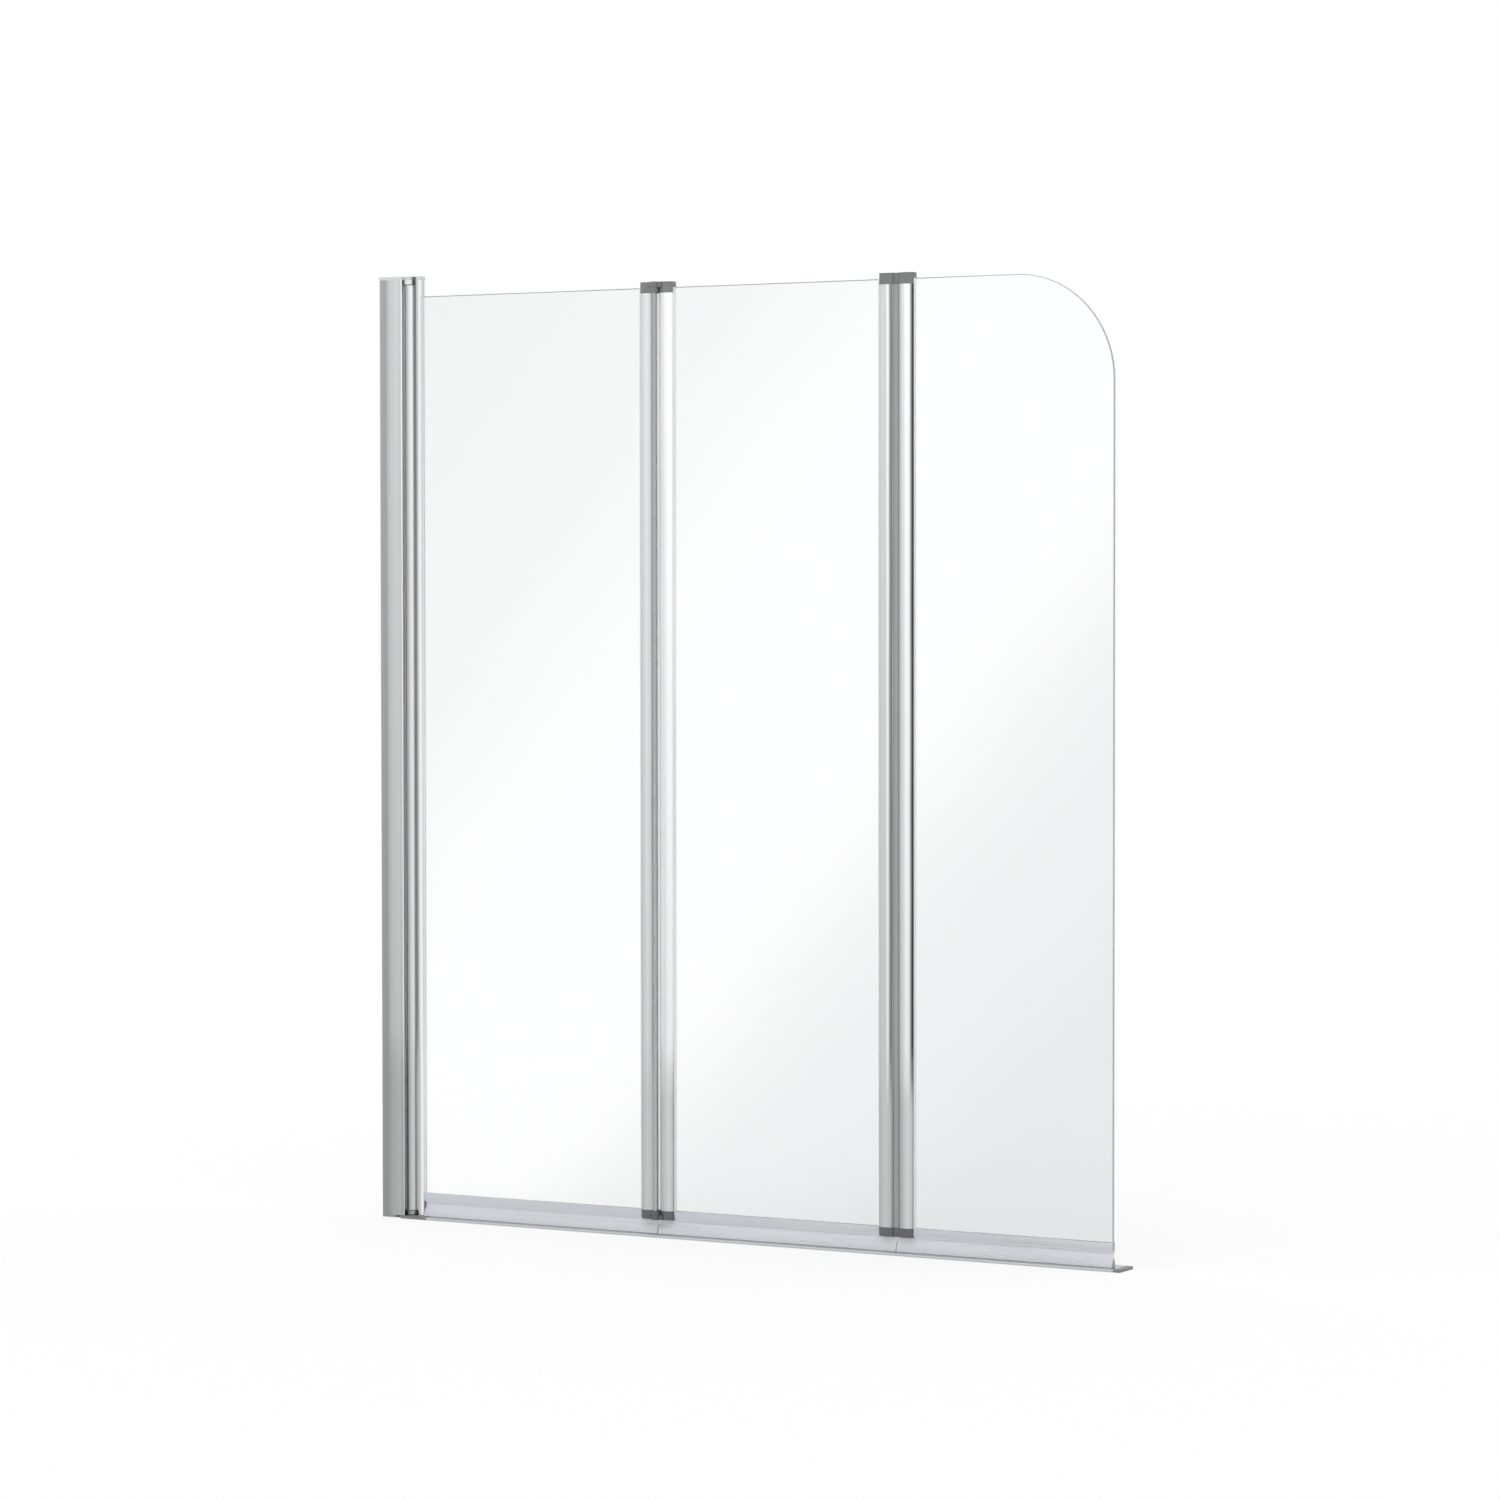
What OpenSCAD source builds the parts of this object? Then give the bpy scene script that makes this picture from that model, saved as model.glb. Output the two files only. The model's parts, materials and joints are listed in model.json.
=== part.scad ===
// Three-panel folding bath screen. Millimetres, +Z up.
// Origin: wall face, middle of the glass thickness, level of the bath rim.
// +X runs along the screen away from the wall, +Y points over the bath.

/* [Screen] */
// Cut length of the wall profile, which stands on the bath rim
profile_h = 1400; // [1000:10:1800]
// Drop from the top end of the profile to the top edge of the glass
glass_drop = 25; // [18:1:60]
// Height of the bottom edge of the glass above the bath rim
glass_lift = 27; // [24:1:50]
// First panel, from the wall pivot to the first fold
panel_1_w = 429.5; // [300:0.5:700]
// Second panel, from the first fold to the second fold
panel_2_w = 391; // [200:1:391]
// Third panel, from the second fold to the free edge
panel_3_w = 336; // [250:1:336]
// Radius of the free top corner of the third panel
corner_r = 150; // [20:5:220]
// Thickness of the safety glass
glass_t = 5; // [4:1:6]

/* [Wall profile] */
// Wall thickness of the extruded profiles
alu_t = 1.8; // [1.5:0.1:2]
// Width of the wall channel across the screen
channel_w = 25; // [25:0.5:28]
// Reach of the wall channel from the wall
channel_d = 26; // [22:0.5:27]
// Radius of the screw holes in the back of the wall channel
wall_hole_r = 2.6; // [2:0.1:3.5]
// Distance between the two outer wall screws
outer_hole_pitch = 1200; // [700:10:1200]
// Distance between the two inner wall screws
inner_hole_pitch = 400; // [200:10:500]
// How far the back edge of the adjusting profile stands off the wall
adjust_out = 12.5; // [10:0.5:18]
// Depth of the adjusting profile from its back edge to its front edge
adjust_d = 28; // [26:0.5:28]
// Depth of the mouth that the pivot column turns in
mouth_d = 7.2; // [7:0.1:8]
// Distance between the side screws that fix the adjusting profile
side_screw_pitch = 500; // [200:10:500]
// Thickness of the cover on top of the profiles
cover_t = 5; // [4.5:0.5:8]

/* [Wall pivot] */
// Distance of the pivot axis in front of the adjusting profile
pivot_out = 5; // [4:0.1:6]
// Radius of the round pivot column
column_r = 9.5; // [9:0.1:10]
// Radius of the bore of the pivot column
column_bore_r = 6.5; // [5.5:0.1:7]
// Radius of the steel pivot pins
pivot_pin_r = 3; // [2.5:0.1:3.5]
// Thickness of the tongue of each pivot block
tongue_t = 7; // [5:0.5:9]
// Length of the plug of each pivot block inside the wall channel
plug_h = 22; // [20:1:40]
// Length of the bushes inside the column
bush_h = 20; // [16:1:40]
// Half thickness of the neck between the column and the glass grip
neck_half = 3; // [2:0.5:3]
// Length of the glass grip along the screen
grip_w = 8.2; // [7:0.1:14]
// Thickness of the glass grip across the screen
grip_d = 15; // [14:0.5:15]

/* [Folding hinges] */
// Length of each hinge leaf along the screen
leaf_w = 22.5; // [19:0.5:30]
// Thickness of each hinge leaf at its crown
leaf_d = 18; // [17:0.5:18.5]
// Radius of the crowned faces of the leaves
crown_r = 24; // [22:1:60]
// Radius of the rounded edges of the leaves
leaf_edge_r = 3; // [1:0.5:4]
// Gap between the two leaves of a hinge
hinge_gap = 9; // [8.5:0.5:12]
// Distance of a fold axis from the middle of the glass
fold_offset = 11; // [11:0.5:14]
// Radius of the hinge rods
rod_r = 3; // [2:0.1:3.2]
// Outer radius of the hinge ears
ear_r = 5.5; // [5:0.1:6]
// Height of the upper end caps of the leaves
cap_h = 16; // [14:1:30]
// Height of the lower end caps of the leaves
low_cap_h = 13; // [12:1:30]
// How far the top caps stand above the glass
cap_over = 8; // [4:1:12]
// Distance from the rim to the underside of the bottom caps
cap_lift = 25; // [22:1:40]
// Depth of the slot that holds the glass
slot_d = 12; // [8:0.5:13]

/* [Seals] */
// Thickness of the gaskets on each side of the glass
gasket_t = 1.2; // [1:0.1:1.4]
// How far the inner lips of the gaskets show in front of the metal
gasket_show = 0.8; // [0.2:0.1:2]
// How far their wider outer lips show in front of the metal
outer_show = 2.8; // [0.8:0.1:4]
// How far the bottom seal grips up the glass
seal_grip = 11; // [8:1:20]
// Wall thickness of the bottom seal
seal_t = 1.5; // [1:0.1:2]
// Half width of the bottom seal across its two lips
lip_spread = 6.3; // [5:0.1:6.3]
// Thickness of the sealing lips
lip_t = 1.2; // [0.8:0.1:2]
// Thickness of the water strip between two leaves
fold_seal_t = 1.2; // [0.8:0.1:2]

/* [Threshold strip] */
// Thickness of the strip that lies on the rim
strip_t = 4; // [3:0.5:5]
// Reach of the strip outwards from the glass
strip_front = 20; // [18:1:40]
// Reach of the strip inwards from the glass
strip_back = 28; // [20:1:60]
// Start of the end piece under the pivot, from the wall
foot_start = 36; // [28:1:36]
// Length of the end piece under the pivot
foot_len = 46; // [40:1:90]
// Length of the end cap at the free end
end_cap_len = 10; // [10:1:40]
// Overrun of the strip past the free edge of the glass
strip_over = 8; // [1:1:20]

/* [Clearances] */
// Gap between pieces that slide or pass each other
part_gap = 0.3; // [0.2:0.05:0.4]
// Radial clearance of a pin that turns in a bore
run_gap = 0.05; // [0.02:0.01:0.1]
// Radial clearance of a pin or plug that is pushed in
push_gap = 0.02; // [0.01:0.01:0.05]

/* [Hidden] */
$fn = 96;
cut = 1;

// heights
glass_top = profile_h - glass_drop;
glass_h = glass_top - glass_lift;
cap_top = glass_top + cap_over;
leaf_z0 = cap_lift + low_cap_h;
leaf_z1 = cap_top - cap_h;
tongue_low = strip_t;
tongue_high = profile_h - tongue_t;
flange_t = 1;
column_z0 = tongue_low + tongue_t + part_gap + flange_t;
column_z1 = tongue_high - part_gap - flange_t;

// places along the screen
front_x = adjust_out + adjust_d;
pivot_x = front_x + pivot_out;
fold_1_x = pivot_x + panel_1_w;
fold_2_x = fold_1_x + panel_2_w;
free_x = fold_2_x + panel_3_w;
half_gap = hinge_gap / 2;
mouth_x = front_x - mouth_d;
web_x = mouth_x - alu_t;

// across the screen
channel_half = channel_w / 2;
adjust_in = channel_half + part_gap;
adjust_half = adjust_in + alu_t;
slot_half = glass_t / 2 + gasket_t;
gasket_web = 1;
glass_in_leaf = slot_d - gasket_web;

// pivot blocks, bushes and cover
tongue_half = column_r;
block_x0 = alu_t + part_gap;
block_x1 = web_x - part_gap;
block_half = channel_half - alu_t - part_gap;
pin_in_bush = 14;
pin_in_cap = 3;
bore_past_pin = 1;
cover_edge_r = 3;
cover_screw_in = 7;
cover_screw_x = [block_x0 + cover_screw_in, block_x1 - cover_screw_in];

// the grip starts where it clears the corner of the adjusting profile in the open position
corner_gaps = 2.5;
grip_x0 = pivot_x + adjust_half + corner_gaps * part_gap;
grip_x1 = grip_x0 + grip_w;
grip_floor = 1;
grip_face_ratio = 1.2;
grip_edge_r = 2;
grip_z0 = strip_t + part_gap;
grip_z1 = profile_h;
grip_slot_x = grip_x0 + grip_floor;
glass_1_x0 = grip_slot_x + gasket_web;
glass_1_x1 = fold_1_x - half_gap - leaf_w + glass_in_leaf;
glass_2_x0 = fold_1_x + half_gap + leaf_w - glass_in_leaf;
glass_2_x1 = fold_2_x - half_gap - leaf_w + glass_in_leaf;
glass_3_x0 = fold_2_x + half_gap + leaf_w - glass_in_leaf;

// chamber in each leaf, which takes the plug of its caps
chamber_half = 4;
chamber_w = 4;
chamber_in = 2;
chamber_x0 = -half_gap - chamber_in - chamber_w;
chamber_x1 = -half_gap - chamber_in;
plug_len = 10;

// ears of the caps: the first leaf's ears lie nearer to the middle of the screen
ear_h = (cap_h - part_gap) / 2;
low_ear_h = (low_cap_h - part_gap) / 2;
bridge_rise = 1.8;
fixed_bore_r = rod_r + push_gap;
turning_bore_r = rod_r + run_gap;

// groove and place of the water strip, and the play between two lips at a fold
fold_seal_y = 3.4;
fold_seal_groove = 1.2;
fold_play = 0.6;

seal_half = glass_t / 2 + seal_t;
seal_web_z = glass_lift - seal_t;
lip_z0 = strip_t + part_gap;
lip_z1 = min(seal_web_z, cap_lift) - part_gap;
stem_share = 0.6;
stem_z = lip_z0 + stem_share * (lip_z1 - lip_z0);

strip_x0 = foot_start + foot_len;
strip_x1 = free_x + strip_over;
groove_h = 1.5;
groove_edge = 8;
spigot_len = 15;
end_corner_r = 5;

cap_screw_r = 1.6;
cap_screw_head_r = 3.2;
cap_screw_len = 16;
side_screw_r = 1.7;
side_screw_head_r = 3.2;
side_screw_head_h = 2.2;
side_screw_x = (adjust_out + channel_d) / 2;
side_screw_reach = 3.5;
recess_w = 0.8;
recess_l = 3.6;
recess_d = 1.2;

// ---------- shared shapes ----------

// A plate between two corners of its plan, with a start height and a thickness
module plate(x0, x1, y0, y1, z0, t) {
    translate([x0, y0, z0]) cube([x1 - x0, y1 - y0, t]);
}

// Outline of a bar with crowned faces and rounded edges, centred on the origin
module crowned_outline(w, d, face_r, edge_r) {
    face_c = face_r - d / 2;
    edge_x = w / 2 - edge_r;
    edge_y = sqrt(pow(face_r - edge_r, 2) - pow(edge_x, 2)) - face_c;
    flank_x = edge_x * face_r / (face_r - edge_r);
    intersection() {
        translate([0, -face_c]) circle(face_r);
        translate([0, face_c]) circle(face_r);
        union() {
            square([2 * flank_x, d], center = true);
            square([w, 2 * edge_y], center = true);
            for (sx = [-1, 1], sy = [-1, 1])
                translate([sx * edge_x, sy * edge_y]) circle(edge_r);
        }
    }
}

// A screw along -Z with its head's top at the origin
module countersunk_screw(r, head_r, len) {
    difference() {
        union() {
            translate([0, 0, -(head_r - r)]) cylinder(r1 = r, r2 = head_r, h = head_r - r);
            translate([0, 0, -len]) cylinder(r = r, h = len);
        }
        cross_recess();
    }
}

module cross_recess() {
    for (a = [0, 90])
        rotate(a) translate([-recess_l / 2, -recess_w / 2, -recess_d])
            cube([recess_l, recess_w, recess_d + cut]);
}

// ---------- wall profile ----------

module wall_channel() {
    color("silver")
    difference() {
        plate(0, channel_d, -channel_half, channel_half, 0, profile_h);
        plate(alu_t, channel_d + cut, alu_t - channel_half, channel_half - alu_t,
            -cut, profile_h + 2 * cut);
        for (pitch = [outer_hole_pitch, inner_hole_pitch], s = [-1, 1])
            translate([-cut, 0, profile_h / 2 + s * pitch / 2])
                rotate([0, 90, 0]) cylinder(r = wall_hole_r, h = alu_t + 2 * cut);
        side_screw_holes(side_screw_r + push_gap);
    }
}

module adjusting_profile() {
    round_r = alu_t / 2;
    arm_y = adjust_half - round_r;
    color("silver")
    difference() {
        union() {
            for (s = [-1, 1]) {
                plate(adjust_out + round_r, front_x - round_r, s * arm_y - round_r, s * arm_y + round_r,
                    strip_t, profile_h - strip_t);
                for (x = [adjust_out + round_r, front_x - round_r])
                    translate([x, s * arm_y, strip_t]) cylinder(r = round_r, h = profile_h - strip_t);
            }
            plate(web_x, mouth_x, -arm_y, arm_y, strip_t, profile_h - strip_t);
        }
        plate(web_x - cut, mouth_x + cut, -tongue_half - part_gap, tongue_half + part_gap,
            -cut, tongue_low + tongue_t + part_gap + cut);
        plate(web_x - cut, mouth_x + cut, -tongue_half - part_gap, tongue_half + part_gap,
            tongue_high - part_gap, tongue_t + part_gap + cut);
        side_screw_holes(side_screw_r + part_gap);
    }
}

module side_screw_holes(r) {
    for (i = [-1:1])
        translate([side_screw_x, 0, profile_h / 2 + i * side_screw_pitch])
            rotate([-90, 0, 0]) cylinder(r = r, h = adjust_half + cut);
}

module side_screws() {
    color("gainsboro")
    for (i = [-1:1])
        translate([side_screw_x, adjust_half, profile_h / 2 + i * side_screw_pitch])
            rotate([-90, 0, 0])
                difference() {
                    union() {
                        cylinder(r = side_screw_head_r, h = side_screw_head_h);
                        translate([0, 0, -alu_t - part_gap - side_screw_reach])
                            cylinder(r = side_screw_r, h = alu_t + part_gap + side_screw_reach);
                    }
                    translate([0, 0, side_screw_head_h]) cross_recess();
                }
}

// ---------- pivot blocks, pins and cover ----------

// A plug in the wall channel with a tongue that reaches over the pivot axis
module pivot_block(plug_z, tongue_z) {
    union() {
        plate(block_x0, block_x1, -block_half, block_half, plug_z, plug_h);
        plate(block_x1 - cut, pivot_x, -tongue_half, tongue_half, tongue_z, tongue_t);
        translate([pivot_x, 0, tongue_z]) cylinder(r = tongue_half, h = tongue_t);
    }
}

module top_pivot_block() {
    color("silver")
    difference() {
        pivot_block(profile_h - plug_h, tongue_high);
        translate([pivot_x, 0, tongue_high - cut])
            cylinder(r = pivot_pin_r + push_gap, h = tongue_t + 2 * cut);
        for (x = cover_screw_x)
            translate([x, 0, profile_h - cap_screw_len])
                cylinder(r = cap_screw_r + push_gap, h = cap_screw_len + cut);
    }
}

module bottom_pivot_block() {
    color("silver")
    difference() {
        pivot_block(0, tongue_low);
        translate([pivot_x, 0, tongue_low - cut])
            cylinder(r = pivot_pin_r + push_gap, h = tongue_t + 2 * cut);
    }
}

module top_pivot_pin() {
    low = column_z1 + flange_t - pin_in_bush;
    color("lightgray")
    translate([pivot_x, 0, low]) cylinder(r = pivot_pin_r, h = profile_h + pin_in_cap - low);
}

// A cap on the upper tongue and pin, level with the top cover
module top_pivot_cap() {
    start_x = front_x + part_gap;
    color("whitesmoke")
    difference() {
        union() {
            plate(start_x, pivot_x, -tongue_half, tongue_half, profile_h, cover_t);
            intersection() {
                translate([pivot_x, 0, profile_h]) cylinder(r = tongue_half, h = cover_t);
                plate(start_x, pivot_x + tongue_half + cut, -tongue_half - cut, tongue_half + cut,
                    profile_h, cover_t);
            }
        }
        translate([pivot_x, 0, profile_h - cut])
            cylinder(r = pivot_pin_r + push_gap, h = cut + pin_in_cap + push_gap);
    }
}

module bottom_pivot_pin() {
    color("lightgray")
    translate([pivot_x, 0, tongue_low])
        cylinder(r = pivot_pin_r, h = column_z0 - flange_t + pin_in_bush - tongue_low);
}

module top_cover() {
    edge_x = front_x - cover_edge_r;
    edge_y = adjust_half - cover_edge_r;
    color("whitesmoke")
    difference() {
        translate([0, 0, profile_h])
            linear_extrude(cover_t)
                union() {
                    translate([0, -adjust_half]) square([edge_x, 2 * adjust_half]);
                    translate([0, -edge_y]) square([front_x, 2 * edge_y]);
                    for (s = [-1, 1]) translate([edge_x, s * edge_y]) circle(cover_edge_r);
                }
        for (x = cover_screw_x)
            translate([x, 0, profile_h]) {
                translate([0, 0, -cut]) cylinder(r = cap_screw_r + part_gap, h = cover_t + 2 * cut);
                translate([0, 0, cover_t - (cap_screw_head_r - cap_screw_r)])
                    cylinder(r1 = cap_screw_r + push_gap, r2 = cap_screw_head_r + push_gap,
                        h = cap_screw_head_r - cap_screw_r);
            }
    }
}

module cover_screws() {
    color("gainsboro")
    for (x = cover_screw_x)
        translate([x, 0, profile_h + cover_t])
            countersunk_screw(cap_screw_r, cap_screw_head_r, cap_screw_len);
}

// ---------- threshold strip ----------

// Cross-section of the strip in Y and Z, with full round edges
module strip_section() {
    r = strip_t / 2;
    union() {
        translate([r - strip_front, 0]) square([strip_front + strip_back - 2 * r, strip_t]);
        translate([r - strip_front, r]) circle(r);
        translate([strip_back - r, r]) circle(r);
    }
}

// Extrudes a Y-Z section along X
module along_x(x0, x1) {
    translate([x0, 0, 0]) rotate([90, 0, 90]) linear_extrude(x1 - x0) children();
}

module spigot(x0, x1) {
    plate(x0, x1, groove_edge - strip_front + part_gap, strip_back - groove_edge - part_gap,
        0, groove_h - part_gap);
}

module threshold_strip() {
    color("lightsteelblue")
    difference() {
        along_x(strip_x0, strip_x1) strip_section();
        plate(strip_x0 - cut, strip_x1 + cut, groove_edge - strip_front, strip_back - groove_edge,
            -cut, groove_h + cut);
    }
}

module threshold_foot() {
    color("dimgray")
    union() {
        along_x(foot_start, strip_x0) strip_section();
        spigot(strip_x0 - cut, strip_x0 + spigot_len);
    }
}

module threshold_end_cap() {
    end_x = strip_x1 + end_cap_len;
    color("dimgray")
    union() {
        intersection() {
            along_x(strip_x1, end_x) strip_section();
            linear_extrude(strip_t)
                union() {
                    translate([strip_x1, -strip_front])
                        square([end_cap_len - end_corner_r, strip_front + strip_back]);
                    translate([strip_x1, end_corner_r - strip_front])
                        square([end_cap_len, strip_front + strip_back - 2 * end_corner_r]);
                    for (y = [end_corner_r - strip_front, strip_back - end_corner_r])
                        translate([end_x - end_corner_r, y]) circle(end_corner_r);
                }
        }
        spigot(strip_x1 - spigot_len, strip_x1 + cut);
    }
}

// ---------- wall pivot of the first panel ----------

module grip_outline() {
    translate([grip_x0 + grip_w / 2, 0])
        crowned_outline(grip_w, grip_d, grip_face_ratio * grip_d, grip_edge_r);
}

module pivot_column() {
    grip_h = grip_z1 - grip_z0;
    column_h = column_z1 - column_z0;
    color("silver")
    difference() {
        union() {
            translate([pivot_x, 0, column_z0]) cylinder(r = column_r, h = column_h);
            plate(pivot_x + column_bore_r + cut, grip_x0 + grip_floor, -neck_half, neck_half,
                column_z0, column_h);
            translate([0, 0, grip_z0]) linear_extrude(grip_h) grip_outline();
        }
        translate([pivot_x, 0, column_z0 - cut]) cylinder(r = column_bore_r, h = column_h + 2 * cut);
        plate(grip_slot_x, grip_x1 + cut, -slot_half, slot_half, grip_z0 - cut, grip_h + 2 * cut);
    }
}

// A cap on the grip, level with the top cover, whose plug fills the slot above the glass
module grip_top_cap() {
    color("whitesmoke")
    union() {
        translate([0, 0, grip_z1]) linear_extrude(cover_t) grip_outline();
        plate(grip_slot_x + push_gap, grip_x1, push_gap - slot_half, slot_half - push_gap,
            glass_top + part_gap, grip_z1 - glass_top);
    }
}

// A flanged bush along +Z from the flange's outer face, with a blind bore for the pin
module pivot_bush() {
    color("gray")
    difference() {
        union() {
            cylinder(r = column_r, h = flange_t);
            cylinder(r = column_bore_r - push_gap, h = bush_h + flange_t);
        }
        translate([0, 0, -cut])
            cylinder(r = pivot_pin_r + run_gap, h = cut + pin_in_bush + bore_past_pin);
    }
}

module top_pivot_bush() {
    translate([pivot_x, 0, column_z1 + flange_t]) mirror([0, 0, 1]) pivot_bush();
}

module bottom_pivot_bush() {
    translate([pivot_x, 0, column_z0 - flange_t]) pivot_bush();
}

// ---------- glazing ----------

// A U-shaped gasket round one upright edge of the glass, in a slot of a given depth. dir is +1 where
// the glass lies on its +X side. outer is the side in Y of its wider lip, which starts above the seal.
module edge_gasket(floor_x, dir, depth, outer) {
    inner_len = depth + gasket_show;
    lip_foot = seal_grip + part_gap;
    color("gainsboro")
    translate([floor_x, 0, glass_lift]) mirror([dir > 0 ? 0 : 1, 0, 0]) mirror([0, outer > 0 ? 1 : 0, 0])
        union() {
            difference() {
                plate(0, inner_len, -slot_half, slot_half, 0, glass_h);
                plate(gasket_web, inner_len + cut, -glass_t / 2, glass_t / 2, -cut, glass_h + 2 * cut);
            }
            plate(depth, depth + outer_show, -slot_half, -glass_t / 2, lip_foot, glass_h - lip_foot);
        }
}

module pivot_gasket() {
    edge_gasket(grip_slot_x, 1, grip_x1 - grip_slot_x, -1);
}

module glass_pane(x0, x1) {
    color("lightcyan", 0.35)
    plate(x0, x1, -glass_t / 2, glass_t / 2, glass_lift, glass_h);
}

module glass_1() {
    glass_pane(glass_1_x0, glass_1_x1);
}

module glass_2() {
    glass_pane(glass_2_x0, glass_2_x1);
}

module glass_3() {
    w = free_x - glass_3_x0;
    color("lightcyan", 0.35)
    translate([glass_3_x0, glass_t / 2, glass_lift]) rotate([90, 0, 0])
        linear_extrude(glass_t)
            union() {
                square([w, glass_h - corner_r]);
                square([w - corner_r, glass_h]);
                translate([w - corner_r, glass_h - corner_r]) circle(corner_r, $fn = 180);
            }
}

// ---------- bottom seals ----------

// grip_a and grip_b bound the channel on the glass, lip_a and lip_b the sealing lips
module bottom_seal(grip_a, grip_b, lip_a, lip_b) {
    color("lightsteelblue")
    union() {
        difference() {
            plate(grip_a, grip_b, -seal_half, seal_half, seal_web_z, seal_t + seal_grip);
            plate(grip_a - cut, grip_b + cut, -glass_t / 2, glass_t / 2, glass_lift, seal_grip + cut);
        }
        plate(grip_a, grip_b, -lip_t, lip_t, lip_z1 - cut, seal_web_z - lip_z1 + 2 * cut);
        along_x(lip_a, lip_b) lip_section();
    }
}

// Stem and two spread lips, in Y and Z
module lip_section() {
    union() {
        translate([-lip_t, stem_z]) square([2 * lip_t, lip_z1 - stem_z]);
        for (s = [-1, 1])
            polygon([
                [0, stem_z], [0, stem_z + lip_t], [s * lip_t, stem_z + lip_t],
                [s * lip_spread, lip_z0], [s * (lip_spread - lip_t), lip_z0]
            ]);
    }
}

module bottom_seal_1() {
    bottom_seal(grip_x1 + gasket_show + part_gap,
        fold_1_x - half_gap - leaf_w - gasket_show - part_gap,
        grip_x1 + part_gap, fold_1_x - fold_play);
}

module bottom_seal_2() {
    bottom_seal(fold_1_x + half_gap + leaf_w + gasket_show + part_gap,
        fold_2_x - half_gap - leaf_w - gasket_show - part_gap,
        fold_1_x + fold_play, fold_2_x - fold_play);
}

module bottom_seal_3() {
    bottom_seal(fold_2_x + half_gap + leaf_w + gasket_show + part_gap, free_x,
        fold_2_x + fold_play, free_x);
}

// ---------- folding hinges ----------
// Each hinge is drawn with its fold axis on the line x = 0 and y = -fold_offset, the first leaf (a) on
// the -X side. The second leaf (b) is its mirror image, with its ears at the other level.

module leaf_outline() {
    translate([-half_gap - leaf_w / 2, 0]) crowned_outline(leaf_w, leaf_d, crown_r, leaf_edge_r);
}

module leaf_slot(z0, z1) {
    plate(-half_gap - leaf_w - cut, -half_gap - leaf_w + slot_d, -slot_half, slot_half, z0, z1 - z0);
}

module leaf_chamber(shrink, z0, h) {
    plate(chamber_x0 + shrink, chamber_x1 - shrink, shrink - chamber_half, chamber_half - shrink, z0, h);
}

module leaf() {
    color("silver")
    difference() {
        translate([0, 0, leaf_z0]) linear_extrude(leaf_z1 - leaf_z0) leaf_outline();
        leaf_slot(leaf_z0 - cut, leaf_z1 + cut);
        leaf_chamber(0, leaf_z0 - cut, leaf_z1 - leaf_z0 + 2 * cut);
        plate(-half_gap - fold_seal_groove, -half_gap + cut, fold_seal_y, fold_seal_y + fold_seal_t,
            leaf_z0 - cut, leaf_z1 - leaf_z0 + 2 * cut);
    }
}

// The ear that carries the rod, with its bridge to the cap
module ear(z0, h) {
    translate([0, 0, z0])
        linear_extrude(h)
            union() {
                translate([0, -fold_offset]) circle(ear_r);
                polygon([
                    [0, -fold_offset], [0, ear_r - fold_offset],
                    [-half_gap, bridge_rise * ear_r - fold_offset],
                    [chamber_x0, 0], [chamber_x0, -fold_offset]
                ]);
            }
}

// A blade on the first leaf's caps that closes the gap to the second leaf's caps
module cap_blade(z0, h) {
    plate(-half_gap - cut, half_gap - part_gap, fold_seal_y, fold_seal_y + fold_seal_t, z0, h);
}

// A cap of height h from z0 upwards, with ears of height e.
// own_z is the foot of its own ear, other_z the foot of the other leaf's ear.
module leaf_cap(z0, h, e, own_z, other_z, bore_r, slot_z0, slot_z1, plug_z) {
    difference() {
        union() {
            difference() {
                translate([0, 0, z0]) linear_extrude(h) leaf_outline();
                leaf_slot(slot_z0, slot_z1);
            }
            leaf_chamber(push_gap, plug_z, plug_len + cut);
            ear(own_z, e);
        }
        translate([0, -fold_offset, own_z - cut]) cylinder(r = bore_r, h = e + 2 * cut);
        translate([0, -fold_offset, other_z - part_gap])
            cylinder(r = ear_r + part_gap, h = e + 2 * part_gap);
    }
}

module top_cap(first, bore_r) {
    ear_in = leaf_z1;
    ear_out = leaf_z1 + ear_h + part_gap;
    color("dimgray")
    union() {
        leaf_cap(leaf_z1, cap_h, ear_h, first ? ear_in : ear_out, first ? ear_out : ear_in, bore_r,
            leaf_z1 - cut, glass_top + part_gap, leaf_z1 - plug_len);
        if (first) cap_blade(leaf_z1, cap_h);
    }
}

module bottom_cap(first, bore_r) {
    ear_in = leaf_z0 - low_ear_h;
    ear_out = cap_lift;
    color("dimgray")
    union() {
        leaf_cap(cap_lift, low_cap_h, low_ear_h, first ? ear_in : ear_out, first ? ear_out : ear_in,
            bore_r, glass_lift - part_gap, leaf_z0 + cut, leaf_z0 - cut);
        if (first) cap_blade(cap_lift, low_cap_h);
    }
}

module rod() {
    color("gainsboro")
    translate([0, -fold_offset, cap_lift]) cylinder(r = rod_r, h = cap_top - cap_lift);
}

// A flat strip in the first leaf's groove, with a bead that meets the second leaf
module water_strip() {
    bead_r = fold_seal_t;
    bead_x = half_gap - part_gap - bead_r;
    color("gainsboro")
    union() {
        plate(-half_gap - fold_seal_groove + push_gap, bead_x,
            fold_seal_y + push_gap, fold_seal_y + fold_seal_t - push_gap, leaf_z0, leaf_z1 - leaf_z0);
        translate([bead_x, fold_seal_y + fold_seal_t / 2, leaf_z0])
            cylinder(r = bead_r, h = leaf_z1 - leaf_z0);
    }
}

module leaf_gasket(outer) {
    edge_gasket(-half_gap - leaf_w + slot_d, -1, slot_d, outer);
}

// The first fold opens on the outer face
module at_fold_1() {
    translate([fold_1_x, 0, 0]) children();
}

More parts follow.
